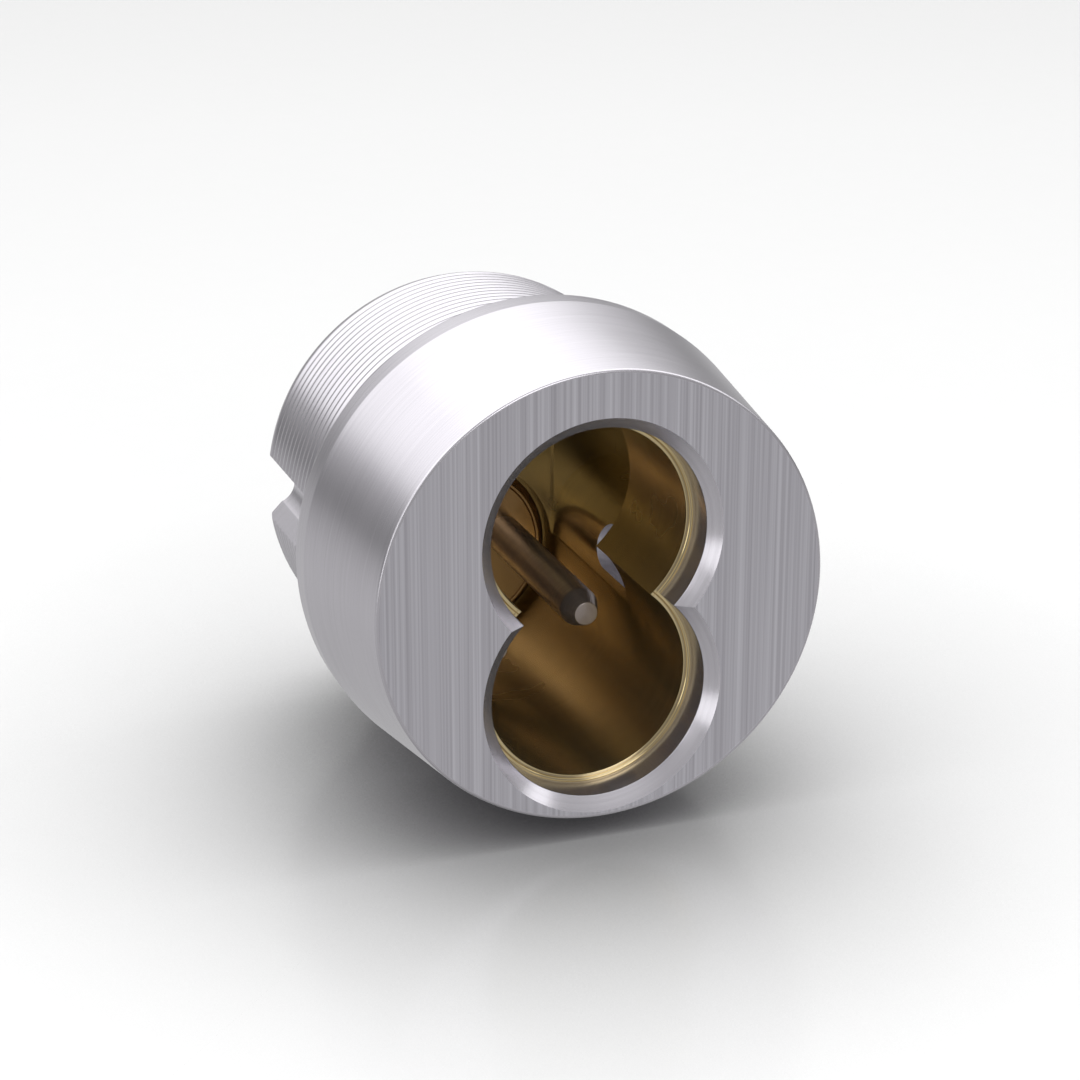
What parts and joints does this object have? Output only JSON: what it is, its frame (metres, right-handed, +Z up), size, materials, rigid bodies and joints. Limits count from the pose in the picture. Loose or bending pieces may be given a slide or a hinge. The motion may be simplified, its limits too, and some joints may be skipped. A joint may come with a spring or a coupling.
{
  "type": "mortise cylinder housing",
  "caption": "Mortise cylinder housing with a threaded barrel, a two-lobed socket for an interchangeable core, a turning throw member with pins, and a cam.",
  "frame": {"origin": "on the barrel axis, in the plane of the shoulder behind the head", "axes": "+Y along the barrel towards the back of the lock, +Z up with the two lobes one above the other, +X to the right seen from the front"},
  "size_m": [0.0336, 0.0345, 0.0336],
  "materials": {
    "plated_brass": "satin chrome plate outside, bare machined brass inside the socket",
    "bare_brass": "fine turned",
    "dark_steel": "hardened and ground, dark",
    "plated_steel": "satin plate",
    "screw_steel": "bright turned"
  },
  "bodies": {
    "housing_body": {"housing": "plated_brass"},
    "throw": {"throw_member": "bare_brass", "throw_pin_left": "dark_steel", "throw_pin_right": "dark_steel", "cam": "plated_steel", "cam_screw_upper": "screw_steel", "cam_screw_lower": "screw_steel"}
  },
  "joints": [
    {"name": "throw_turn", "type": "hinge", "parent": "housing_body", "child": "throw", "pos_m": [0, 0.01769, -0.00669], "axis": [0, 1, 0], "continuous": true}
  ]
}
